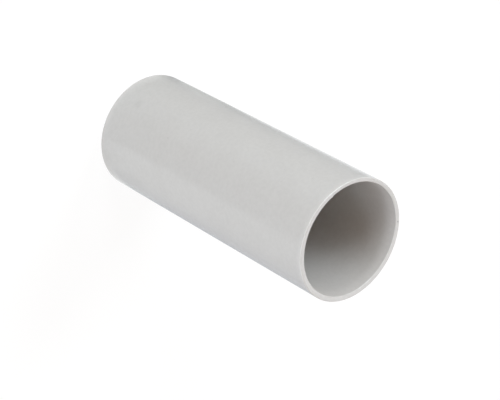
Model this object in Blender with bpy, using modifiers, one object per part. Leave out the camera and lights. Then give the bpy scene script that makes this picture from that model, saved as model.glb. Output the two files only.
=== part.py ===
"""Push-fit coupling for 25 mm rigid plastic conduit.

The coupling is one plain moulded sleeve. A socket runs in from each end to a stop ring at
mid-length, and the conduits butt against the two faces of that ring. A short flared lead-in
guides the conduit into each socket.

The sleeve stands on one end: its axis is +Z, and its origin is the middle of the end that it
stands on. Lengths are in metres.

Run it with: blender --background --python part.py
"""

import math

import bpy
from mathutils import Vector

# Driving dimensions of the sockets
CONDUIT_DIAMETER = 0.0250
MOUTH_CLEARANCE = 0.00078
ENTRY_CLEARANCE = 0.00016
SEAT_CLEARANCE = 0.00010
SOCKET_DEPTH = 0.0345
LEAD_IN_DEPTH = 0.0025
WALL_AT_MOUTH = 0.00106

# Driving dimensions of the stop ring
STOP_WIDTH = 0.0020
STOP_HEIGHT = 0.0011
STOP_CREST_RADIUS = 0.00035
STOP_ROOT_RADIUS = 0.00015

# Edges of the two open ends
OUTER_EDGE_RADIUS = 0.00015
LIP_RADIUS = 0.00020

# Fineness of the turned surface
SIDES = 96
ARC_STEPS = 4
MERGE_DISTANCE = 0.00001

# Finish: pale grey rigid plastic with a soft sheen
PLASTIC_COLOUR = (0.560, 0.560, 0.548, 1.0)
PLASTIC_ROUGHNESS = 0.26

# Sizes worked out from the driving dimensions
MOUTH_RADIUS = (CONDUIT_DIAMETER + MOUTH_CLEARANCE) / 2
ENTRY_RADIUS = (CONDUIT_DIAMETER + ENTRY_CLEARANCE) / 2
SEAT_RADIUS = (CONDUIT_DIAMETER + SEAT_CLEARANCE) / 2
OUTER_RADIUS = MOUTH_RADIUS + WALL_AT_MOUTH
STOP_RADIUS = SEAT_RADIUS - STOP_HEIGHT
STOP_FACE = STOP_WIDTH / 2
HALF_LENGTH = STOP_FACE + SOCKET_DEPTH


def clear_scene():
    """Remove every object, so that only the coupling is left at the end."""
    for obj in list(bpy.data.objects):
        bpy.data.objects.remove(obj)


def make_collection(name):
    """Return a new collection linked under the scene."""
    collection = bpy.data.collections.new(name)
    bpy.context.scene.collection.children.link(collection)
    return collection


def make_plastic(name, colour, roughness):
    """Return a plain moulded plastic material."""
    material = bpy.data.materials.new(name)
    material.use_nodes = True
    shader = material.node_tree.nodes["Principled BSDF"]
    shader.inputs["Base Color"].default_value = colour
    shader.inputs["Roughness"].default_value = roughness
    shader.inputs["Metallic"].default_value = 0.0
    return material


def arc(centre_radius, centre_height, radius, start, end):
    """Return points (radius, height) along a circular arc, ends included, with angles in degrees."""
    points = []
    for step in range(ARC_STEPS + 1):
        angle = math.radians(start + (end - start) * step / ARC_STEPS)
        points.append(
            (
                centre_radius + radius * math.cos(angle),
                centre_height + radius * math.sin(angle),
            )
        )
    return points


def stop_outline():
    """Half of the stop ring, from the middle of its crest to the root of its upper face."""
    crest_middle = [(STOP_RADIUS, 0.0)]
    crest_edge = arc(
        STOP_RADIUS + STOP_CREST_RADIUS,
        STOP_FACE - STOP_CREST_RADIUS,
        STOP_CREST_RADIUS,
        180.0,
        90.0,
    )
    root = arc(
        SEAT_RADIUS - STOP_ROOT_RADIUS,
        STOP_FACE + STOP_ROOT_RADIUS,
        STOP_ROOT_RADIUS,
        -90.0,
        0.0,
    )
    return crest_middle + crest_edge + root


def rim_outline():
    """The open end, from the lip of the socket across the end face to the outer wall."""
    lip = arc(
        MOUTH_RADIUS + LIP_RADIUS,
        HALF_LENGTH - LIP_RADIUS,
        LIP_RADIUS,
        180.0,
        90.0,
    )
    outer_edge = arc(
        OUTER_RADIUS - OUTER_EDGE_RADIUS,
        HALF_LENGTH - OUTER_EDGE_RADIUS,
        OUTER_EDGE_RADIUS,
        90.0,
        0.0,
    )
    return lip + outer_edge


def half_section():
    """The upper half of the wall's section, open at mid-length.

    It runs up the socket, whose wall drafts out a little from the seat to the foot of the
    lead-in, up the flared lead-in, over the rim and down the straight outer wall.
    """
    lead_in_foot = [(ENTRY_RADIUS, HALF_LENGTH - LEAD_IN_DEPTH)]
    outer_wall_middle = [(OUTER_RADIUS, 0.0)]
    return stop_outline() + lead_in_foot + rim_outline() + outer_wall_middle


def make_section_mesh(name, outline):
    """Return a mesh of edges that joins the outline's points, in the XZ plane."""
    mesh = bpy.data.meshes.new(name)
    points = [Vector((radius, 0.0, height)) for radius, height in outline]
    edges = [(index, index + 1) for index in range(len(points) - 1)]
    mesh.from_pydata(points, edges, [])
    return mesh


def turn_about_axis(obj):
    """Turn the section once round Z."""
    turn = obj.modifiers.new("Turn", "SCREW")
    turn.axis = "Z"
    turn.angle = math.tau
    turn.steps = SIDES
    turn.render_steps = SIDES
    turn.use_merge_vertices = True
    turn.merge_threshold = MERGE_DISTANCE
    turn.use_smooth_shade = True


def mirror_at_stop(obj):
    """Mirror the upper half down, so that the two sockets match."""
    mirror = obj.modifiers.new("Mirror", "MIRROR")
    mirror.use_axis = (False, False, True)
    mirror.use_mirror_merge = True
    mirror.merge_threshold = MERGE_DISTANCE


def shade_flats_flat(obj):
    """Let the broad faces set the normals, so that the smooth shading keeps to the rounded edges."""
    weighting = obj.modifiers.new("Flat faces", "WEIGHTED_NORMAL")
    weighting.mode = "FACE_AREA"
    weighting.weight = 100


def make_sleeve(collection, material):
    """Build the sleeve with its stop at the object's origin, and stand it on its lower end."""
    mesh = make_section_mesh("coupling_section", half_section())
    mesh.materials.append(material)
    sleeve = bpy.data.objects.new("coupling_sleeve", mesh)
    collection.objects.link(sleeve)
    turn_about_axis(sleeve)
    mirror_at_stop(sleeve)
    shade_flats_flat(sleeve)
    sleeve.location = (0.0, 0.0, HALF_LENGTH)
    return sleeve


def main():
    clear_scene()
    collection = make_collection("conduit_coupling")
    plastic = make_plastic("grey_conduit_plastic", PLASTIC_COLOUR, PLASTIC_ROUGHNESS)
    make_sleeve(collection, plastic)


main()
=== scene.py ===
"""Looks of the conduit coupling: one pale grey sleeve of satin plastic, standing in soft light.

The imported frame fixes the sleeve's length and outer diameter. This script makes the fine surface
of the moulding in the same place, gives it its finish, and sets up the floor, the light and the
camera of the photograph.

Lengths are in metres. A bearing is an angle round the sleeve in degrees: 0 faces the camera,
which looks along +Y, and positive bearings turn towards +X.
"""

from __future__ import annotations

import logging
import math
from dataclasses import dataclass, field
from enum import Enum

import bpy
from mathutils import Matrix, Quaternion, Vector


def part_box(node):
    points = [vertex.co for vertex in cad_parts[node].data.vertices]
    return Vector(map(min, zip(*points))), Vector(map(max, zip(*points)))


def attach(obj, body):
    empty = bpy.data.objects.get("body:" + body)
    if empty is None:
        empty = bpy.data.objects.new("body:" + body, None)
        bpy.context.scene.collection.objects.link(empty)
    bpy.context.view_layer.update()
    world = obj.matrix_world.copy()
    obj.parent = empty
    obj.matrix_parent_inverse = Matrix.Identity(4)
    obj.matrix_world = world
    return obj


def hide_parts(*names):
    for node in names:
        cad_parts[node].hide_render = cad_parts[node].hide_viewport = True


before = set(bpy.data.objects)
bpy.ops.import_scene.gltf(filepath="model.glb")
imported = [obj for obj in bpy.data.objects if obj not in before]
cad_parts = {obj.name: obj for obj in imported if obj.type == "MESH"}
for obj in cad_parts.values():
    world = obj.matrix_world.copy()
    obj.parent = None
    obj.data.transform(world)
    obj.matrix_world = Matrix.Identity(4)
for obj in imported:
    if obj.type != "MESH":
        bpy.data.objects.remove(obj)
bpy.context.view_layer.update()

NODE = "coupling_sleeve"
BODY = "root"
MM = 0.001

Colour = tuple[float, float, float]
Outline = list["SectionPoint"]
Socket = bpy.types.NodeSocket

PLAIN_TINT: Colour = (0.898, 1.0, 1.062)
COOL_TINT: Colour = (0.88, 1.0, 1.105)

LOG = logging.getLogger("conduit_coupling")


class WallFace(Enum):
    """The faces that the wall's section is made of."""

    OUTSIDE = "outside"
    OUTER_EDGE = "outer edge"
    END_FACE = "end face"
    LIP = "lip"
    LEAD_IN = "lead-in"
    SOCKET = "socket"
    STOP = "stop"


class SeenBy(Enum):
    """The kinds of ray that see the white background, by their Light Path names."""

    CAMERA = "Is Camera Ray"
    GLOSS = "Is Glossy Ray"
    CLEAR = "Is Transmission Ray"


@dataclass(frozen=True)
class SectionPoint:
    """One point of the wall's section, which becomes a ring of the sleeve.

    Args:
        radius: Distance from the axis.
        height: Height above the floor.
        face: The face that the point belongs to.
    """

    radius: float
    height: float
    face: WallFace


@dataclass(frozen=True)
class SurfaceMark:
    """A small round mark on the sleeve.

    Args:
        bearing: Where it lies round the sleeve.
        height: Where it lies along the sleeve.
        reach: Its radius.
        shade: What it multiplies the plastic's colour by at its middle.
        depth: How deep its dimple is at the middle, or 0 for a stain.
        inset: How far it lies in from the outside, on an end face.
    """

    bearing: float
    height: float
    reach: float
    shade: float
    depth: float = 0.0
    inset: float = 0.0


@dataclass(frozen=True)
class CoreShift:
    """How far the core pin of one socket stood off the middle of the mould.

    Args:
        bearing: The side that it leant to, where the wall is thinner.
        amount: How far it stood off at the end face.
    """

    bearing: float
    amount: float


@dataclass(frozen=True)
class LipFlash:
    """A thin ledge of flash on the inner lip, with one ragged end.

    Args:
        start: Bearing of its ragged end.
        full: Bearing up to which it keeps its width.
        end: Bearing where it has run out.
        reach: How far it stands in from the lip.
        depth: How far it runs down from the end face.
        rag: How much further its ragged end stands in.
        rag_width: How wide that end is, in degrees.
        rag_steps: Number of even steps across that width.
        steps_before: Number of such steps before the ragged end.
        steps_after: Number of such steps after it starts.
    """

    start: float = -28.0
    full: float = 35.0
    end: float = 80.0
    reach: float = 0.09 * MM
    depth: float = 0.9 * MM
    rag: float = 0.10 * MM
    rag_width: float = 2.3
    rag_steps: int = 6
    steps_before: int = 6
    steps_after: int = 15

    def stands_in(self, bearing: float, below: float) -> float:
        """Work out how far the flash stands in from the lip.

        Args:
            bearing: Where it is asked for, round the sleeve.
            below: Where it is asked for, down from the end face.

        Returns:
            The distance, or 0 where there is no flash.
        """
        edge = self.rag_width / 2
        along = soft_step(self.start - edge, self.start + edge, bearing)
        along *= 1.0 - soft_step(self.full, self.end, bearing)
        ragged = 1.0 - soft_step(0.0, self.rag_width, abs(bearing - self.start - edge))
        return (self.reach * along + self.rag * ragged) * (1.0 - soft_step(0.0, self.depth, below))

    def bearings(self) -> list[float]:
        """Return the bearings that give its ragged end its shape."""
        steps = range(-self.steps_before, self.steps_after + 1)
        return [self.start + step * self.rag_width / self.rag_steps for step in steps]


def across(bearing: float) -> Vector:
    """Return the unit vector across the sleeve at a bearing."""
    angle = math.radians(bearing)
    return Vector((math.sin(angle), -math.cos(angle), 0.0))


def soft_step(low: float, high: float, value: float) -> float:
    """Return 0 below low, 1 above high and a smooth rise between them."""
    share = min(1.0, max(0.0, (value - low) / (high - low)))
    return share * share * (3.0 - 2.0 * share)


class NodeSketch:
    """Short spellings for the nodes of one material or world."""

    # Places of the colour sockets among all those of a Mix node
    MIX_SHARE = 0
    MIX_FIRST = 6
    MIX_SECOND = 7
    MIX_RESULT = 2

    def __init__(self, tree: bpy.types.NodeTree) -> None:
        """Start on an empty tree."""
        self.tree = tree
        self.tree.nodes.clear()

    def add(self, kind: str, **settings: object) -> bpy.types.Node:
        """Add one node.

        Args:
            kind: The node's type name.
            settings: Properties to set on it.

        Returns:
            The new node.
        """
        node = self.tree.nodes.new(kind)
        for name, value in settings.items():
            setattr(node, name, value)
        return node

    def feed(self, socket: Socket, source: object) -> None:
        """Link a socket to another one, or set it to a constant.

        Args:
            socket: The input socket.
            source: An output socket, a number, a vector or a colour.
        """
        if isinstance(source, Socket):
            self.tree.links.new(source, socket)
        elif isinstance(source, tuple) and socket.type == "RGBA":
            socket.default_value = (*source, 1.0)
        else:
            socket.default_value = source

    def maths(self, operation: str, *terms: object) -> Socket:
        """Add one Math node.

        Args:
            operation: The name of its operation.
            terms: The sockets or numbers that it works on.

        Returns:
            Its result.
        """
        node = self.add("ShaderNodeMath", operation=operation)
        for socket, term in zip(node.inputs, terms):
            self.feed(socket, term)
        return node.outputs["Value"]

    def rise(
        self,
        value: object,
        low: float,
        high: float,
        start: object = 0.0,
        end: object = 1.0,
    ) -> Socket:
        """Make a result that goes smoothly from one level to another.

        Args:
            value: The value that it follows.
            low: The value at which it leaves the first level.
            high: The value at which it reaches the second level.
            start: The first level.
            end: The second level.

        Returns:
            The result.
        """
        node = self.add("ShaderNodeMapRange", interpolation_type="SMOOTHSTEP", clamp=True)
        for name, term in (
            ("Value", value),
            ("From Min", low),
            ("From Max", high),
            ("To Min", start),
            ("To Max", end),
        ):
            self.feed(node.inputs[name], term)
        return node.outputs["Result"]

    def split(self, vector: Socket) -> tuple[Socket, Socket, Socket]:
        """Take a vector apart.

        Args:
            vector: The vector.

        Returns:
            Its three parts.
        """
        node = self.add("ShaderNodeSeparateXYZ")
        self.feed(node.inputs["Vector"], vector)
        return node.outputs["X"], node.outputs["Y"], node.outputs["Z"]

    def from_axis(self, x: Socket, y: Socket) -> Socket:
        """Return the distance from the sleeve's axis."""
        squares = self.maths("ADD", self.maths("MULTIPLY", x, x), self.maths("MULTIPLY", y, y))
        return self.maths("SQRT", squares)

    def noise(self, place: object, cell: float, detail: float) -> Socket:
        """Make smooth noise about 0.5.

        Args:
            place: The position to read, in metres.
            cell: The size of its patches.
            detail: How many finer layers it has.

        Returns:
            The noise value.
        """
        node = self.add("ShaderNodeTexNoise", noise_dimensions="3D")
        self.feed(node.inputs["Vector"], place)
        self.feed(node.inputs["Scale"], 1.0 / cell)
        self.feed(node.inputs["Detail"], detail)
        return node.outputs["Fac"]

    def blend(self, share: object, first: object, second: object) -> Socket:
        """Mix two colours.

        Args:
            share: How much of the second colour is in the mix.
            first: The first colour.
            second: The second colour.

        Returns:
            The mixed colour.
        """
        node = self.add("ShaderNodeMix", data_type="RGBA", clamp_factor=True)
        self.feed(node.inputs[self.MIX_SHARE], share)
        self.feed(node.inputs[self.MIX_FIRST], first)
        self.feed(node.inputs[self.MIX_SECOND], second)
        return node.outputs[self.MIX_RESULT]

    def shade(self, colour: object, amount: object) -> Socket:
        """Multiply a colour by a grey amount.

        Args:
            colour: The colour.
            amount: The amount, where 1 leaves the colour as it is.

        Returns:
            The new colour.
        """
        node = self.add("ShaderNodeVectorMath", operation="SCALE")
        self.feed(node.inputs["Vector"], colour)
        self.feed(node.inputs["Scale"], amount)
        return node.outputs["Vector"]

    def distance_to(self, place: object, point: Vector) -> Socket:
        """Measure how far a place is from a fixed point.

        Args:
            place: The position to read, in metres.
            point: The fixed point.

        Returns:
            The distance.
        """
        node = self.add("ShaderNodeVectorMath", operation="DISTANCE")
        for socket, end in zip(node.inputs, (place, point)):
            self.feed(socket, end)
        return node.outputs["Value"]

    def seen_by(self, *kinds: SeenBy) -> Socket:
        """Tell some kinds of ray from the others.

        Args:
            kinds: The kinds to pick out.

        Returns:
            1 for a ray of those kinds, and 0 for every other one.
        """
        path = self.add("ShaderNodeLightPath")
        seen: object = 0.0
        for kind in kinds:
            seen = self.maths("MAXIMUM", seen, path.outputs[kind.value])
        return seen


@dataclass(frozen=True)
class ConduitPlastic:
    """Rigid conduit plastic straight from a polished mould, pale grey with a satin gloss.

    Args:
        grey: Colour of the outside.
        socket_grey_painted_bounce: Colour of the sockets, painted lighter and warmer for the bounce
            light in the bore.
        bore_edge: How far outside the lip's radius the sockets' colour starts to give way.
        bore_fade: How far outside that radius it has given way.
        painted_light_end_grey: Colour of the end faces, painted a little lighter as light on faces
            that point along the axis.
        end_start: How squarely a rounded edge faces up where it starts to look like an end face.
        end_full: How squarely it faces up where it looks like one altogether.
        painted_edge_highlight: What the rounded edges multiply the colour by, a painted highlight
            along them.
        edge_full: How mixed the wall and the end face are where that highlight is full.
        end_light: What the outside's colour is multiplied by at its very ends, a painted lighter band.
        end_light_reach: How far in from the ends that painted lighter band reaches.
        gloss_roughness: Roughness of the outside.
        socket_roughness: Roughness of the sockets.
        end_roughness: Roughness of the end faces.
        roughness_share: How much the roughness varies in clouds.
        mottle_cell: Size of the cloudy patches.
        mottle_detail: How many finer layers they have.
        mottle_share: How much they vary the colour.
        grain_cell: Size of the fine grain in the colour.
        grain_detail: How many finer layers it has.
        grain_share: How much it varies the colour.
        speck_spacing: Distance between the places where a dark speck can lie.
        speck_radius: Radius of a speck.
        speck_core: Share of that radius that has the speck's full shade.
        speck_share: Share of those places that hold one.
        speck_shade: What a speck multiplies the colour by.
        mark_core: Share of a mark's radius that has its full shade.
        peel_cell: Size of the ripples that the mould leaves.
        peel_height: Height of the ripples.
        fine_cell: Size of the fine texture.
        fine_height: Height of the fine texture.
        ripple_detail: How many finer layers each of the two has.
    """

    grey: Colour = (0.560, 0.560, 0.548)
    # The sockets' grey is the plastic's own, painted a little lighter and warmer as bounce light in
    # the bore.
    socket_grey_painted_bounce: Colour = (0.578, 0.569, 0.554)
    bore_edge: float = 0.02 * MM
    bore_fade: float = 0.20 * MM
    # The end faces' grey is lighter than the outside's: painted light, picked by the way the surface
    # faces.
    painted_light_end_grey: Colour = (0.570, 0.568, 0.557)
    end_start: float = 0.25
    end_full: float = 0.97
    # Painted highlight: the rounded edges are made paler.
    painted_edge_highlight: float = 1.16
    edge_full: float = 0.2
    # Painted light: the outside is made lighter close to each end.
    end_light: float = 1.065
    end_light_reach: float = 1.6 * MM
    gloss_roughness: float = 0.16
    socket_roughness: float = 0.32
    end_roughness: float = 0.24
    roughness_share: float = 0.1
    mottle_cell: float = 6.0 * MM
    mottle_detail: float = 2.0
    mottle_share: float = 0.009
    grain_cell: float = 0.8 * MM
    grain_detail: float = 3.0
    grain_share: float = 0.023
    speck_spacing: float = 3.4 * MM
    speck_radius: float = 0.16 * MM
    speck_core: float = 0.4
    speck_share: float = 0.25
    speck_shade: float = 0.93
    mark_core: float = 0.35
    peel_cell: float = 1.4 * MM
    peel_height: float = 0.0020 * MM
    fine_cell: float = 0.25 * MM
    fine_height: float = 0.0005 * MM
    ripple_detail: float = 1.0

    # Values between which nearly all of the noise lies
    CLOUD_LOW = 0.25
    CLOUD_HIGH = 0.75

    def material(self, sleeve: CouplingSleeve) -> bpy.types.Material:
        """Build the plastic for one sleeve.

        Args:
            sleeve: The sleeve that it dresses, whose sizes place its zones and marks.

        Returns:
            The material.
        """
        material = bpy.data.materials.new("satin_grey_conduit_plastic")
        material.use_nodes = True
        sketch = NodeSketch(material.node_tree)
        place = sketch.add("ShaderNodeTexCoord").outputs["Object"]
        bore = self.bore_share(sketch, place, sleeve)
        end = self.end_share(sketch)
        shader = sketch.add("ShaderNodeBsdfPrincipled")
        sketch.feed(shader.inputs["Base Color"], self.colour(sketch, place, bore, end, sleeve))
        sketch.feed(shader.inputs["Roughness"], self.roughness(sketch, place, bore, end))
        sketch.feed(shader.inputs["Normal"], self.ripples(sketch, place))
        output = sketch.add("ShaderNodeOutputMaterial")
        sketch.feed(output.inputs["Surface"], shader.outputs["BSDF"])
        return material

    def bore_share(self, sketch: NodeSketch, place: Socket, sleeve: CouplingSleeve) -> Socket:
        """Tell the sockets from the rest of the sleeve.

        Args:
            sketch: The material's nodes.
            place: The position on the sleeve.
            sleeve: The sleeve.

        Returns:
            1 inside the sockets, and 0 on the outside and the end faces.
        """
        x, y, _ = sketch.split(place)
        lip = sleeve.mouth_radius
        radius = sketch.from_axis(x, y)
        return sketch.rise(radius, lip + self.bore_edge, lip + self.bore_fade, 1.0, 0.0)

    def end_share(self, sketch: NodeSketch) -> Socket:
        """Return 1 on the end faces, 0 on the walls and a value between on the rounded edges."""
        _, _, facing_up = sketch.split(sketch.add("ShaderNodeNewGeometry").outputs["Normal"])
        return sketch.rise(sketch.maths("ABSOLUTE", facing_up), self.end_start, self.end_full)

    def clouds(
        self,
        sketch: NodeSketch,
        place: Socket,
        cell: float,
        detail: float,
        share: float,
    ) -> Socket:
        """Return a factor that drifts about 1 by the given share."""
        noise = sketch.noise(place, cell, detail)
        return sketch.rise(noise, self.CLOUD_LOW, self.CLOUD_HIGH, 1.0 - share, 1.0 + share)

    def colour(
        self,
        sketch: NodeSketch,
        place: Socket,
        bore: Socket,
        end: Socket,
        sleeve: CouplingSleeve,
    ) -> Socket:
        """Work out the plastic's colour, with cloudiness, grain, specks, marks and painted light.

        Args:
            sketch: The material's nodes.
            place: The position on the sleeve.
            bore: 1 inside the sockets.
            end: 1 on the end faces.
            sleeve: The sleeve, with its marks.

        Returns:
            The colour.
        """
        _, _, height = sketch.split(place)
        from_end = sketch.maths("MINIMUM", height, sketch.maths("SUBTRACT", sleeve.length, height))
        # Painted light: the outside is lighter close to each end.
        light = sketch.rise(from_end, 0.0, self.end_light_reach, self.end_light, 1.0)
        # Painted bounce light: the sockets take a lighter, warmer grey than the outside.
        tone = sketch.blend(bore, sketch.shade(self.grey, light), self.socket_grey_painted_bounce)
        # Painted light: the faces that point along the axis take a lighter grey.
        tone = sketch.blend(end, tone, self.painted_light_end_grey)
        # Painted highlight: the rounded edges, where wall and end face mix, are made paler.
        edge = sketch.maths("MULTIPLY", end, sketch.maths("SUBTRACT", 1.0, end))
        tone = sketch.shade(tone, sketch.rise(edge, 0.0, self.edge_full, 1.0, self.painted_edge_highlight))
        for cell, detail, share in (
            (self.mottle_cell, self.mottle_detail, self.mottle_share),
            (self.grain_cell, self.grain_detail, self.grain_share),
        ):
            tone = sketch.shade(tone, self.clouds(sketch, place, cell, detail, share))
        tone = sketch.shade(tone, self.specks(sketch, place))
        for mark in sleeve.marks:
            away = sketch.distance_to(place, sleeve.point_of(mark))
            core = self.mark_core * mark.reach
            tone = sketch.shade(tone, sketch.rise(away, core, mark.reach, mark.shade, 1.0))
        return tone

    def specks(self, sketch: NodeSketch, place: Socket) -> Socket:
        """Scatter a few tiny dark specks.

        Args:
            sketch: The material's nodes.
            place: The position on the sleeve.

        Returns:
            1 on clean plastic, and the speck's shade on a speck.
        """
        cells = sketch.add("ShaderNodeTexVoronoi", feature="F1", voronoi_dimensions="3D")
        sketch.feed(cells.inputs["Vector"], place)
        sketch.feed(cells.inputs["Scale"], 1.0 / self.speck_spacing)
        reach = self.speck_radius / self.speck_spacing
        near = sketch.rise(cells.outputs["Distance"], self.speck_core * reach, reach, 1.0, 0.0)
        chance = sketch.add("ShaderNodeSeparateColor")
        sketch.feed(chance.inputs["Color"], cells.outputs["Color"])
        chosen = sketch.maths("LESS_THAN", chance.outputs["Red"], self.speck_share)
        dark = sketch.maths("MULTIPLY", near, chosen)
        return sketch.rise(dark, 0.0, 1.0, 1.0, self.speck_shade)

    def roughness(self, sketch: NodeSketch, place: Socket, bore: Socket, end: Socket) -> Socket:
        """Work out the roughness, which varies a little in clouds.

        Args:
            sketch: The material's nodes.
            place: The position on the sleeve.
            bore: 1 inside the sockets.
            end: 1 on the end faces.

        Returns:
            The roughness.
        """
        walls = sketch.rise(bore, 0.0, 1.0, self.gloss_roughness, self.socket_roughness)
        even = sketch.rise(end, 0.0, 1.0, walls, self.end_roughness)
        drift = self.clouds(sketch, place, self.mottle_cell, self.mottle_detail, self.roughness_share)
        return sketch.maths("MULTIPLY", even, drift)

    def ripples(self, sketch: NodeSketch, place: Socket) -> Socket:
        """Raise the mould's ripples and its fine texture.

        Args:
            sketch: The material's nodes.
            place: The position on the sleeve.

        Returns:
            The surface normal.
        """
        normal: Socket | None = None
        for cell, height in (
            (self.peel_cell, self.peel_height),
            (self.fine_cell, self.fine_height),
        ):
            bump = sketch.add("ShaderNodeBump")
            sketch.feed(bump.inputs["Strength"], 1.0)
            sketch.feed(bump.inputs["Distance"], height)
            sketch.feed(bump.inputs["Height"], sketch.noise(place, cell, self.ripple_detail))
            if normal is not None:
                sketch.feed(bump.inputs["Normal"], normal)
            normal = bump.outputs["Normal"]
        return normal


@dataclass
class CouplingSleeve:
    """The moulded sleeve: a socket in each end, and a stop ring between them.

    Args:
        outer_radius: Radius of the outside, from the frame.
        length: Height of the sleeve, from the frame.
        wall_at_mouth: Thickness of the wall at each end.
        lead_in_depth: How far the flared lead-in runs into each socket.
        lead_in_flare: How much wider the mouth is than the socket behind its lead-in.
        lead_in_bend: Share of the lead-in over which it bends away from the socket.
        socket_draft: How much the socket's radius closes from there to the stop.
        stop_width: Width of the stop ring along the axis.
        stop_radius: Radius of the hole through the stop ring.
        end_dish: How far each end face falls from its outer edge to its lip.
        outer_edge_radius: Rounding of the outer edge of each end face.
        lip_radius: Rounding of the inner edge of each end face.
        crest_radius: Rounding of the stop ring's crest.
        root_radius: Rounding where the stop ring meets the socket.
        row_spacing: Distance between rings on the straight walls.
        sides: Number of even steps round the sleeve.
        mouth_core: How far the upper socket stands off the middle.
        standing_core: How far the lower socket stands off the middle.
        flash: The flash on the lip of the mouth.
        marks: The small marks on it.
        finish: Its plastic.
    """

    outer_radius: float
    length: float
    wall_at_mouth: float = 1.06 * MM
    lead_in_depth: float = 3.0 * MM
    lead_in_flare: float = 0.33 * MM
    lead_in_bend: float = 0.6
    socket_draft: float = 0.03 * MM
    stop_width: float = 2.0 * MM
    stop_radius: float = 11.45 * MM
    end_dish: float = 0.04 * MM
    outer_edge_radius: float = 0.20 * MM
    lip_radius: float = 0.20 * MM
    crest_radius: float = 0.35 * MM
    root_radius: float = 0.15 * MM
    row_spacing: float = 1.2 * MM
    sides: int = 280
    mouth_core: CoreShift = CoreShift(bearing=-85.0, amount=0.13 * MM)
    standing_core: CoreShift = CoreShift(bearing=140.0, amount=0.07 * MM)
    flash: LipFlash = LipFlash()
    marks: tuple[SurfaceMark, ...] = (
        SurfaceMark(bearing=-17.6, height=6.9 * MM, reach=1.5 * MM, shade=0.945, depth=0.004 * MM),
        SurfaceMark(bearing=-20.5, height=4.9 * MM, reach=0.7 * MM, shade=1.015),
        SurfaceMark(bearing=-67.6, height=24.32 * MM, reach=0.22 * MM, shade=0.75),
        SurfaceMark(bearing=-69.4, height=29.34 * MM, reach=0.20 * MM, shade=0.80),
        SurfaceMark(bearing=-142.1, height=71.0 * MM, reach=0.26 * MM, shade=0.55, inset=0.43 * MM),
        SurfaceMark(bearing=19.0, height=50.16 * MM, reach=0.24 * MM, shade=0.90),
        SurfaceMark(bearing=-2.5, height=21.71 * MM, reach=0.24 * MM, shade=0.90),
        SurfaceMark(bearing=-19.2, height=26.23 * MM, reach=0.22 * MM, shade=0.92),
        SurfaceMark(bearing=-16.0, height=57.99 * MM, reach=0.22 * MM, shade=0.92),
        SurfaceMark(bearing=21.0, height=47.63 * MM, reach=0.22 * MM, shade=0.93),
        SurfaceMark(bearing=-11.7, height=43.31 * MM, reach=0.22 * MM, shade=0.92),
        SurfaceMark(bearing=-32.2, height=63.83 * MM, reach=0.22 * MM, shade=0.92),
        SurfaceMark(bearing=37.3, height=46.98 * MM, reach=0.22 * MM, shade=0.93),
        SurfaceMark(bearing=22.3, height=11.63 * MM, reach=0.22 * MM, shade=0.93),
        SurfaceMark(bearing=-22.0, height=35.86 * MM, reach=0.20 * MM, shade=0.94),
        SurfaceMark(bearing=-47.1, height=62.91 * MM, reach=0.20 * MM, shade=0.94),
    )
    finish: ConduitPlastic = field(default_factory=ConduitPlastic)

    ARC_STEPS = 8
    LEAD_IN_STEPS = 12
    MARK_STEPS = 9

    # Part of a step that a dimple's rings are moved by, so that none falls on an even ring
    MARK_OFFSET = 0.37

    # How close to a rounded edge the nearest ring of a wall lies, on a long wall and a short one
    HOLDING_GAP = 0.04 * MM
    HOLDING_SHARE = 0.25

    @classmethod
    def from_frame(cls, node: str) -> CouplingSleeve:
        """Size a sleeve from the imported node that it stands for."""
        low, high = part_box(node)
        return cls(outer_radius=(high.x - low.x) / 2, length=high.z - low.z)

    @property
    def middle(self) -> Vector:
        """The point on the axis at mid-length."""
        return Vector((0.0, 0.0, self.length / 2))

    @property
    def mouth_radius(self) -> float:
        """Radius of each socket at its mouth."""
        return self.outer_radius - self.wall_at_mouth

    @property
    def socket_radius(self) -> float:
        """Radius of each socket behind its lead-in."""
        return self.mouth_radius - self.lead_in_flare

    @property
    def seat_radius(self) -> float:
        """Radius of each socket at the stop ring."""
        return self.socket_radius - self.socket_draft

    @property
    def lip_height(self) -> float:
        """Height of the mouth's lip."""
        return self.length - self.end_dish

    @property
    def dimples(self) -> list[SurfaceMark]:
        """The marks that have a depth."""
        return [mark for mark in self.marks if mark.depth > 0.0]

    def point_of(self, mark: SurfaceMark) -> Vector:
        """Return the point on the surface where a mark has its middle."""
        out = across(mark.bearing) * (self.outer_radius - mark.inset)
        return out + Vector((0.0, 0.0, mark.height))

    def arc(
        self,
        face: WallFace,
        centre: tuple[float, float],
        radius: float,
        start: float,
        end: float,
    ) -> Outline:
        """Draw a rounded edge.

        Args:
            face: The face that the points belong to.
            centre: Radius and height of the arc's centre.
            radius: Radius of the rounding.
            start: Angle of the first point, from straight out, turning up.
            end: Angle of the last point.

        Returns:
            The points, both ends included.
        """
        points = []
        for step in range(self.ARC_STEPS + 1):
            angle = math.radians(start + (end - start) * step / self.ARC_STEPS)
            points.append(
                SectionPoint(
                    centre[0] + radius * math.cos(angle),
                    centre[1] + radius * math.sin(angle),
                    face,
                )
            )
        return points

    def straight(self, face: WallFace, start: SectionPoint, end: SectionPoint) -> Outline:
        """Draw a straight run between two points of the section, in steps close to even.

        A point close to each end holds the shading of the rounded edge that it runs into.

        Args:
            face: The face that the points belong to.
            start: The point before the run.
            end: The point after the run.

        Returns:
            The points between, both ends left out.
        """
        run = math.hypot(end.radius - start.radius, end.height - start.height)
        steps = max(1, round(run / self.row_spacing))
        shares = [step / steps for step in range(1, steps)]
        holding = min(self.HOLDING_GAP / run, self.HOLDING_SHARE)
        shares = sorted({holding, 1.0 - holding, *shares})
        return [
            SectionPoint(
                start.radius + (end.radius - start.radius) * share,
                start.height + (end.height - start.height) * share,
                face,
            )
            for share in shares
        ]

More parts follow.
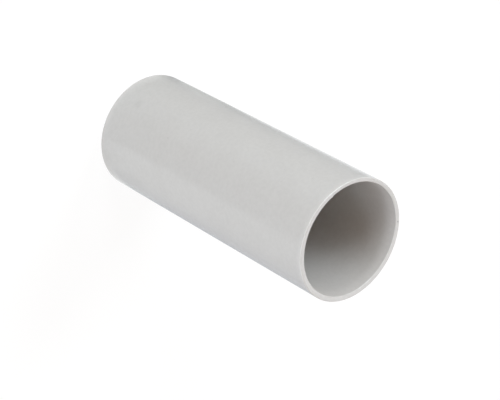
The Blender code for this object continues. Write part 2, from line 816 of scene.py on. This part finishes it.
    def lead_in(self) -> Outline:
        """Draw the lead-in, a plain flare that bends gently away from the socket.

        Returns:
            The points, from the socket up to the lip, which is left out.
        """
        bend = self.lead_in_bend
        foot = self.length - self.lead_in_depth
        rise = self.lip_height - self.lip_radius - foot
        points = []
        for step in range(self.LEAD_IN_STEPS):
            share = step / self.LEAD_IN_STEPS
            opened = share * share / (2 * bend) if share < bend else share - bend / 2
            points.append(
                SectionPoint(
                    self.socket_radius + self.lead_in_flare * opened / (1.0 - bend / 2),
                    foot + rise * share,
                    WallFace.LEAD_IN,
                )
            )
        return points

    def upper_half(self) -> Outline:
        """Draw the section's upper half.

        Returns:
            The points, from the stop's crest up the socket to the outer edge.
        """
        stop_face = self.length / 2 + self.stop_width / 2
        crest = self.arc(
            WallFace.STOP,
            (self.stop_radius + self.crest_radius, stop_face - self.crest_radius),
            self.crest_radius,
            180.0,
            90.0,
        )
        root = self.arc(
            WallFace.STOP,
            (self.seat_radius - self.root_radius, stop_face + self.root_radius),
            self.root_radius,
            -90.0,
            0.0,
        )
        lip = self.arc(
            WallFace.LIP,
            (self.mouth_radius + self.lip_radius, self.lip_height - self.lip_radius),
            self.lip_radius,
            180.0,
            90.0,
        )
        outer_edge = self.arc(
            WallFace.OUTER_EDGE,
            (self.outer_radius - self.outer_edge_radius, self.length - self.outer_edge_radius),
            self.outer_edge_radius,
            90.0,
            0.0,
        )
        lead_in = self.lead_in()
        return [
            *crest,
            *self.straight(WallFace.STOP, crest[-1], root[0]),
            *root,
            *self.straight(WallFace.SOCKET, root[-1], lead_in[0]),
            *lead_in,
            *lip,
            *self.straight(WallFace.END_FACE, lip[-1], outer_edge[0]),
            *outer_edge,
        ]

    def section(self) -> Outline:
        """Draw the whole section.

        Returns:
            The points of a closed loop, up the sockets and down the outside.
        """
        upper = self.upper_half()
        lower = [
            SectionPoint(point.radius, self.length - point.height, point.face)
            for point in reversed(upper)
        ]
        outside = self.straight(WallFace.OUTSIDE, upper[-1], lower[0])
        outside = sorted([*outside, *self.dimple_rows()], key=lambda point: -point.height)
        crest_run = self.straight(WallFace.STOP, lower[-1], upper[0])
        return [*upper, *outside, *lower, *crest_run]

    def dimple_rows(self) -> Outline:
        """Draw the extra rings that give each dimple its round shape.

        Returns:
            Their points on the outside.
        """
        return [
            SectionPoint(self.outer_radius, mark.height + offset * mark.reach, WallFace.OUTSIDE)
            for mark in self.dimples
            for offset in self.dimple_offsets()
        ]

    def dimple_offsets(self) -> list[float]:
        """Return the even steps across a dimple, in shares of its radius."""
        steps = self.MARK_STEPS
        return [(step + self.MARK_OFFSET) / (steps - 1) for step in range(-steps, steps + 1)]

    def bearings(self) -> list[float]:
        """Choose where the section is copied, closer together across each small feature.

        Returns:
            The bearings, in order.
        """
        found = {-180.0 + 360.0 * side / self.sides for side in range(self.sides)}
        found.update(self.flash.bearings())
        for mark in self.dimples:
            reach = math.degrees(mark.reach / self.outer_radius)
            found.update(mark.bearing + offset * reach for offset in self.dimple_offsets())
        return sorted(found)

    def dimple(self, point: SectionPoint, bearing: float) -> float:
        """Work out how deep the outside lies below its plain radius.

        Args:
            point: The point of the section.
            bearing: The bearing of the section's copy.

        Returns:
            The depth, or 0 away from the dimples.
        """
        if point.face is not WallFace.OUTSIDE:
            return 0.0
        depth = 0.0
        for mark in self.dimples:
            around = math.radians(bearing - mark.bearing) * self.outer_radius
            away = math.hypot(around, point.height - mark.height)
            depth += mark.depth * (1.0 - soft_step(0.0, mark.reach, away))
        return depth

    def core_share(self, point: SectionPoint) -> float:
        """Work out how far a point moves with the socket.

        Args:
            point: The point of the section.

        Returns:
            1 where it moves with the socket, and 0 where it stays with the outside.
        """
        if point.face in (WallFace.OUTSIDE, WallFace.OUTER_EDGE):
            return 0.0
        if point.face is WallFace.END_FACE:
            inner = self.mouth_radius + self.lip_radius
            outer = self.outer_radius - self.outer_edge_radius
            return (outer - point.radius) / (outer - inner)
        return 1.0

    def place(self, point: SectionPoint, bearing: float) -> Vector:
        """Place one point of the section's copy.

        Args:
            point: The point of the section.
            bearing: The bearing of the copy.

        Returns:
            Where it lies.
        """
        above = point.height - self.length / 2
        core = self.mouth_core if above > 0.0 else self.standing_core
        share = self.core_share(point)
        lean = across(core.bearing) * core.amount * share * abs(above) / (self.length / 2)
        flash = share * self.flash.stands_in(bearing, self.length - point.height)
        radius = point.radius - self.dimple(point, bearing) - flash
        return across(bearing) * radius + lean + Vector((0.0, 0.0, point.height))

    def mesh(self) -> bpy.types.Mesh:
        """Join the section's copies round the sleeve.

        Returns:
            The closed mesh.
        """
        section = self.section()
        bearings = self.bearings()
        rows = len(section)
        columns = len(bearings)
        corners = [self.place(point, bearing) for bearing in bearings for point in section]
        faces = []
        for column in range(columns):
            following = (column + 1) % columns
            for row in range(rows):
                above = (row + 1) % rows
                faces.append(
                    (
                        column * rows + row,
                        column * rows + above,
                        following * rows + above,
                        following * rows + row,
                    )
                )
        mesh = bpy.data.meshes.new("moulded_sleeve")
        mesh.from_pydata(corners, [], faces)
        mesh.validate()
        mesh.shade_smooth()
        return mesh

    def build(self) -> bpy.types.Object:
        """Make the sleeve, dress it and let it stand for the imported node.

        Returns:
            The finished piece.
        """
        mesh = self.mesh()
        mesh.materials.append(self.finish.material(self))
        piece = bpy.data.objects.new("moulded_sleeve", mesh)
        bpy.context.scene.collection.objects.link(piece)
        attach(piece, BODY)
        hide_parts(NODE)
        return piece


@dataclass(frozen=True)
class SheenBand:
    """A sector of the floor with a tone of its own in the sleeve's sheen.

    Args:
        start: Bearing of one side.
        end: Bearing of the other side.
        start_blur: How wide the change of tone is at the first side.
        end_blur: How wide it is at the other side.
        tone: The tone that the sheen shows.
    """

    start: float
    end: float
    start_blur: float
    end_blur: float
    tone: Colour

    def share(self, sketch: NodeSketch, bearing: Socket) -> Socket:
        """Tell the sector from the rest of the floor.

        Args:
            sketch: The floor's nodes.
            bearing: The bearing of the place on the floor, in degrees.

        Returns:
            1 inside the sector, and 0 outside it.
        """
        middle = (self.start + self.end) / 2
        half = (self.end - self.start) / 2
        turned = sketch.maths("WRAP", sketch.maths("SUBTRACT", bearing, middle), 180.0, -180.0)
        entered = sketch.rise(turned, -half - self.start_blur / 2, -half + self.start_blur / 2)
        left = sketch.rise(turned, half - self.end_blur / 2, half + self.end_blur / 2)
        return sketch.maths("MULTIPLY", entered, sketch.maths("SUBTRACT", 1.0, left))


@dataclass(frozen=True)
class NearPatch:
    """A sector of the floor close to the sleeve, with its own tone in the sheen.

    Args:
        sector: Its sides and its tone.
        hold: Distance from the sleeve's wall up to which it keeps that tone.
        reach: Distance at which it has faded out.
    """

    sector: SheenBand
    hold: float
    reach: float

    def share(self, sketch: NodeSketch, bearing: Socket, away: Socket) -> Socket:
        """Return 1 inside the patch and 0 outside it."""
        ring = sketch.rise(away, self.hold, self.reach, 1.0, 0.0)
        return sketch.maths("MULTIPLY", ring, self.sector.share(sketch, bearing))


@dataclass
class PaleFloor:
    """The plain floor, white to the eye, which keeps the sleeve's soft shadow.

    Args:
        foot_radius: Outer radius of the sleeve that stands on it.
        width: Width of the square floor.
        drop: How far it lies under the sleeve's end face.
        white: Colour that its own surface has in the light.
        glow: Strength of the white that the eye sees.
        glow_share: How much of what the eye sees is that even white.
        sheen: Tone that the sleeve's sheen shows outside the bands.
        bands: The sectors with other tones in that sheen.
        bands_middle: The point on the floor that the sectors fan out from.
        patches: The places close to the sleeve that differ from the sectors.
    """

    foot_radius: float
    width: float = 6.0
    drop: float = 0.02 * MM
    white: Colour = (0.80, 0.80, 0.80)
    glow: float = 1.06
    glow_share: float = 0.86
    sheen: Colour = (0.86, 0.90, 0.92)
    bands: tuple[SheenBand, ...] = (
        SheenBand(-138.0, 48.3, 36.0, 3.0, (0.34, 0.37, 0.36)),
        SheenBand(-134.0, -80.0, 36.0, 50.0, (0.33, 0.35, 0.37)),
        SheenBand(-70.0, 6.0, 50.0, 36.0, (0.38, 0.435, 0.435)),
        SheenBand(48.3, 97.0, 3.0, 50.0, (0.94, 1.0, 1.0)),
        SheenBand(98.0, 166.0, 50.0, 40.0, (0.53, 0.56, 0.60)),
    )
    bands_middle: tuple[float, float] = (-3.3 * MM, -3.5 * MM)
    patches: tuple[NearPatch, ...] = (
        NearPatch(
            SheenBand(-150.0, -106.0, 20.0, 16.0, (0.50, 0.53, 0.53)),
            hold=9.0 * MM,
            reach=20.0 * MM,
        ),
        NearPatch(
            SheenBand(82.0, 120.0, 16.0, 20.0, (0.64, 0.68, 0.70)),
            hold=8.0 * MM,
            reach=15.0 * MM,
        ),
        NearPatch(
            SheenBand(-75.0, 150.0, 40.0, 40.0, (0.98, 1.0, 1.0)),
            hold=0.9 * MM,
            reach=2.2 * MM,
        ),
    )

    def sheen_tone(self, sketch: NodeSketch) -> Socket:
        """Work out the tone that the sleeve's sheen shows of each place on the floor.

        Args:
            sketch: The floor's nodes.

        Returns:
            The tone.
        """
        x, y, _ = sketch.split(sketch.add("ShaderNodeNewGeometry").outputs["Position"])
        rightwards = sketch.maths("SUBTRACT", x, self.bands_middle[0])
        forwards = sketch.maths("SUBTRACT", self.bands_middle[1], y)
        turn = sketch.maths("ARCTAN2", rightwards, forwards)
        bearing = sketch.maths("MULTIPLY", turn, math.degrees(1.0))
        tone: object = self.sheen
        for band in self.bands:
            tone = sketch.blend(band.share(sketch, bearing), tone, band.tone)
        away = sketch.maths("SUBTRACT", sketch.from_axis(x, y), self.foot_radius)
        for patch in self.patches:
            tone = sketch.blend(patch.share(sketch, bearing, away), tone, patch.sector.tone)
        return tone

    def material(self) -> bpy.types.Material:
        """Build the floor's white.

        Returns:
            The material.
        """
        material = bpy.data.materials.new("pale_floor_white")
        material.use_nodes = True
        sketch = NodeSketch(material.node_tree)
        matt = sketch.add("ShaderNodeBsdfDiffuse")
        sketch.feed(matt.inputs["Color"], self.white)
        gloss = sketch.seen_by(SeenBy.GLOSS)
        even = (self.glow, self.glow, self.glow)
        glow = sketch.add("ShaderNodeEmission")
        sketch.feed(glow.inputs["Color"], sketch.blend(gloss, even, self.sheen_tone(sketch)))
        clear = sketch.maths("MULTIPLY", sketch.seen_by(SeenBy.CAMERA, SeenBy.CLEAR), self.glow_share)
        share = sketch.maths("MAXIMUM", clear, gloss)
        mix = sketch.add("ShaderNodeMixShader")
        for socket, source in zip(mix.inputs, (share, matt.outputs["BSDF"], glow.outputs["Emission"])):
            sketch.feed(socket, source)
        output = sketch.add("ShaderNodeOutputMaterial")
        sketch.feed(output.inputs["Surface"], mix.outputs["Shader"])
        return material

    def build(self) -> bpy.types.Object:
        """Lay the floor.

        Returns:
            The floor.
        """
        half = self.width / 2
        corners = [
            (x, y, -self.drop)
            for x, y in ((-half, -half), (half, -half), (half, half), (-half, half))
        ]
        mesh = bpy.data.meshes.new("pale_floor")
        mesh.from_pydata(corners, [], [(0, 1, 2, 3)])
        mesh.materials.append(self.material())
        floor = bpy.data.objects.new("pale_floor", mesh)
        bpy.context.scene.collection.objects.link(floor)
        return floor


@dataclass
class Softbox:
    """One large soft lamp aimed at the sleeve.

    Args:
        name: What the lamp is called.
        bearing: Where it stands round the sleeve.
        elevation: Its angle above the floor.
        watts: Its power.
        tint: Its colour.
        distance: How far it is from the sleeve.
        width: Its width and height.
    """

    name: str
    bearing: float
    elevation: float
    watts: float
    tint: Colour = PLAIN_TINT
    distance: float = 0.9
    width: float = 0.3

    def build(self, target: Vector) -> bpy.types.Object:
        """Hang the lamp.

        Args:
            target: The point that it faces.

        Returns:
            The lamp.
        """
        light = bpy.data.lights.new(self.name, "AREA")
        light.shape = "SQUARE"
        light.size = self.width
        light.energy = self.watts
        light.color = self.tint
        lamp = bpy.data.objects.new(self.name, light)
        rise = math.radians(self.elevation)
        away = across(self.bearing) * math.cos(rise) + Vector((0.0, 0.0, math.sin(rise)))
        lamp.location = target + away * self.distance
        lamp.rotation_mode = "QUATERNION"
        lamp.rotation_quaternion = away.to_track_quat("Z", "Y")
        bpy.context.scene.collection.objects.link(lamp)
        return lamp


@dataclass
class StudioLight:
    """The soft, plain light: an even surround and a few softboxes, cooler on the right.

    Args:
        surround: Colour of the even light from all round.
        background: Colour that the eye and the gloss see beyond the floor.
        softboxes: The lamps.
    """

    surround: Colour = (0.328, 0.211, 0.144)
    background: Colour = (1.0, 1.0, 1.0)
    softboxes: tuple[Softbox, ...] = (
        Softbox("high_left_softbox", -90.0, 55.0, 4.1),
        Softbox("front_left_softbox", -45.0, 24.0, 1.8),
        Softbox("low_front_left_softbox", -45.0, 12.0, 0.6),
        Softbox("upper_front_left_softbox", -50.0, 38.0, 0.75),
        Softbox("front_softbox", 0.0, 12.0, 0.6),
        Softbox("front_right_softbox", 45.0, 12.0, 0.75, COOL_TINT),
        Softbox("low_front_right_softbox", 45.0, 2.0, 2.4, COOL_TINT),
        Softbox("right_softbox", 90.0, 12.0, 0.8, COOL_TINT),
        Softbox("upper_right_softbox", 90.0, 38.0, 1.25, COOL_TINT),
        Softbox("back_softbox", -172.0, 42.0, 0.55),
    )

    def surround_world(self) -> bpy.types.World:
        """Build the even light from all round.

        Returns:
            The world.
        """
        world = bpy.data.worlds.new("soft_surround")
        world.use_nodes = True
        sketch = NodeSketch(world.node_tree)
        background = sketch.add("ShaderNodeBackground")
        colour = sketch.blend(sketch.seen_by(*SeenBy), self.surround, self.background)
        sketch.feed(background.inputs["Color"], colour)
        output = sketch.add("ShaderNodeOutputWorld")
        sketch.feed(output.inputs["Surface"], background.outputs["Background"])
        return world

    def build(self, target: Vector) -> list[bpy.types.Object]:
        """Light the scene with the surround and with softboxes that face the target."""
        bpy.context.scene.world = self.surround_world()
        return [softbox.build(target) for softbox in self.softboxes]


@dataclass
class PhotographCamera:
    """The long lens that looks down at the mouth, rolled as in the photograph.

    Args:
        stand: Where the camera stands.
        aim: The point in the middle of its view.
        roll: How far it is turned about its own view line.
        focal_pixels: Focal length in pixels of the photograph's frame.
        frame_width: Width of that frame in pixels.
        sensor_width: Width of the sensor in millimetres.
        nearest: Distance from which it sees.
        farthest: Distance up to which it sees.
    """

    stand: Vector = field(default_factory=lambda: Vector((0.0, -0.28086, 0.30946)))
    aim: Vector = field(default_factory=lambda: Vector((0.00280, 0.0, 0.03977)))
    roll: float = 118.914
    focal_pixels: float = 1760.5
    frame_width: float = 500.0
    sensor_width: float = 36.0
    nearest: float = 0.01
    farthest: float = 20.0

    def build(self) -> bpy.types.Object:
        """Set up the camera.

        Returns:
            The camera, which the scene then uses.
        """
        lens = bpy.data.cameras.new("photograph_camera")
        lens.sensor_fit = "HORIZONTAL"
        lens.sensor_width = self.sensor_width
        lens.lens = self.focal_pixels * self.sensor_width / self.frame_width
        lens.clip_start = self.nearest
        lens.clip_end = self.farthest
        camera = bpy.data.objects.new("photograph_camera", lens)
        camera.location = self.stand
        upright = (self.aim - self.stand).to_track_quat("-Z", "Y")
        camera.rotation_mode = "QUATERNION"
        camera.rotation_quaternion = upright @ Quaternion((0.0, 0.0, 1.0), math.radians(self.roll))
        bpy.context.scene.collection.objects.link(camera)
        bpy.context.scene.camera = camera
        return camera


def set_plain_view() -> None:
    """Show colours as they are, with no film look."""
    bpy.context.scene.view_settings.view_transform = "Standard"


def main() -> None:
    """Build the camera, the sleeve, the floor and the light, and report each one."""
    logging.basicConfig(level=logging.INFO, format="%(message)s")
    set_plain_view()
    camera = PhotographCamera().build()
    LOG.info("%s: lens %.1f mm", camera.name, camera.data.lens)
    sleeve = CouplingSleeve.from_frame(NODE)
    piece = sleeve.build()
    LOG.info("%s: %d faces, %.1f mm long", piece.name, len(piece.data.polygons), sleeve.length / MM)
    floor = PaleFloor(foot_radius=sleeve.outer_radius).build()
    LOG.info("%s: laid", floor.name)
    for lamp in StudioLight().build(sleeve.middle):
        LOG.info("%s: %.1f W", lamp.name, lamp.data.energy)


if __name__ == "__main__":
    main()
